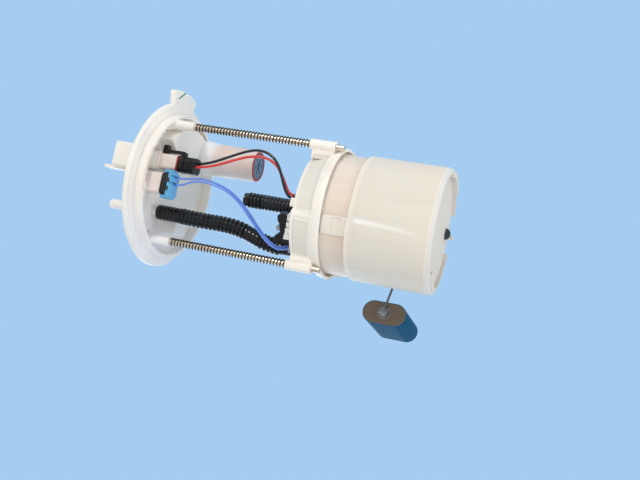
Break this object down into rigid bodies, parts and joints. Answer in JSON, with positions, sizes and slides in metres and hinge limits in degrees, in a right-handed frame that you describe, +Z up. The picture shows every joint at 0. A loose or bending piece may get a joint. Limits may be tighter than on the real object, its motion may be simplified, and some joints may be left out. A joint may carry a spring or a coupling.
{
  "type": "fuel pump module",
  "caption": "In-tank fuel pump module: round flange with ports, sprung guide rods, a reservoir with pump and filter, and a float-arm level sender.",
  "frame": {"origin": "centre of the flange's sealing face, on the axis of its spigot", "axes": "+Z up, out of the tank; +X towards the guide rod beside the pump's plug; +Y away from the wires"},
  "size_m": [0.1721, 0.1758, 0.2774],
  "materials": {
    "white_acetal": "satin off-white acetal",
    "natural_nylon": "satin natural nylon",
    "clear_can": "translucent warm plastic",
    "beige_cup": "translucent beige plastic",
    "black_plastic": "glossy black plastic",
    "black_rubber": "matt black rubber",
    "hose_nylon": "glossy black nylon tube",
    "blue_plastic": "sky-blue plastic",
    "red_rubber": "red seal rubber",
    "grey_blue_plastic": "grey-blue plastic",
    "steel": "ground steel",
    "spring_steel": "drawn spring wire",
    "brass": "tinned brass",
    "wire_black": "black wire covering",
    "wire_red": "red wire covering",
    "wire_blue": "blue wire covering",
    "float_foam": "closed-cell foam",
    "ceramic": "fired ceramic with printed tracks",
    "aluminium": "die-cast aluminium",
    "pump_steel": "zinc-plated steel",
    "paper": "pleated filter paper",
    "mesh_cloth": "woven nylon mesh",
    "magnet": "sintered ferrite",
    "copper": "enamelled copper on iron"
  },
  "bodies": {
    "flange": {"flange_plate": "white_acetal", "pump_terminals": "brass", "sender_terminals": "brass", "vent_tube": "white_acetal", "vent_seal": "red_rubber", "vent_valve": "grey_blue_plastic", "guide_rod_upper": "steel", "guide_rod_lower": "steel", "spring_upper": "spring_steel", "spring_lower": "spring_steel", "pump_plug": "black_plastic", "pump_plug_latch": "black_plastic", "pump_plug_seal": "red_rubber", "sender_plug": "blue_plastic", "sender_plug_seal": "black_rubber", "delivery_hose": "hose_nylon", "pump_wire_black": "wire_black", "pump_wire_red": "wire_red", "sender_wire_1": "wire_blue", "sender_wire_2": "wire_blue"},
    "reservoir": {"sender_lead": "wire_black", "holder_cap": "white_acetal", "inner_can": "clear_can", "reservoir_cup": "beige_cup", "foot_valve": "black_rubber", "delivery_elbow": "black_plastic", "return_hose": "hose_nylon", "terminal_block": "natural_nylon", "pump_connector": "black_plastic", "connector_lock": "grey_blue_plastic", "wire_grommet": "black_rubber", "wire_clip": "grey_blue_plastic", "pump_shell": "pump_steel", "pump_outlet_cover": "natural_nylon", "pump_inlet_cover": "aluminium", "pump_brushes": "magnet", "pump_magnets": "magnet", "pump_isolator": "black_rubber", "filter_paper": "paper", "filter_ring_bottom": "natural_nylon", "filter_ring_top": "natural_nylon", "inlet_strainer": "mesh_cloth", "jet_pump": "natural_nylon", "pressure_regulator": "pump_steel", "sender_housing": "black_plastic", "sender_card": "ceramic"},
    "vent_float": {"vent_float": "white_acetal"},
    "pump_rotor": {"impeller": "natural_nylon", "rotor_shaft": "steel", "armature": "copper", "commutator": "copper"},
    "float_arm": {"arm_hub": "white_acetal", "arm_wiper": "brass", "arm_wire": "steel", "float_retainer": "steel", "float_clip": "steel"},
    "float": {"float": "float_foam"}
  },
  "joints": [
    {"name": "reservoir_slide", "type": "slide", "parent": "flange", "child": "reservoir", "axis": [0, 0, 1], "range_m": [0, 0.035], "stiffness_N_per_m": 500, "springref_m": -0.04, "deforming": ["spring_upper", "spring_lower", "delivery_hose", "pump_wire_black", "pump_wire_red", "sender_wire_1", "sender_wire_2"]},
    {"name": "vent_float_lift", "type": "slide", "parent": "flange", "child": "vent_float", "axis": [0, 0, 1], "range_m": [0, 0.003]},
    {"name": "rotor_spin", "type": "hinge", "parent": "reservoir", "child": "pump_rotor", "pos_m": [0, 0, -0.185], "axis": [0, 0, 1], "continuous": true},
    {"name": "arm_swing", "type": "hinge", "parent": "reservoir", "child": "float_arm", "pos_m": [0.00622, 0.06199, -0.2038], "axis": [-0.225, 0.9744, 0], "range_deg": [-16, 50]},
    {"name": "float_turn", "type": "hinge", "parent": "float_arm", "child": "float", "pos_m": [-0.06933, 0.04455, -0.19359], "axis": [-0.2244, 0.972, -0.0698], "continuous": true}
  ]
}
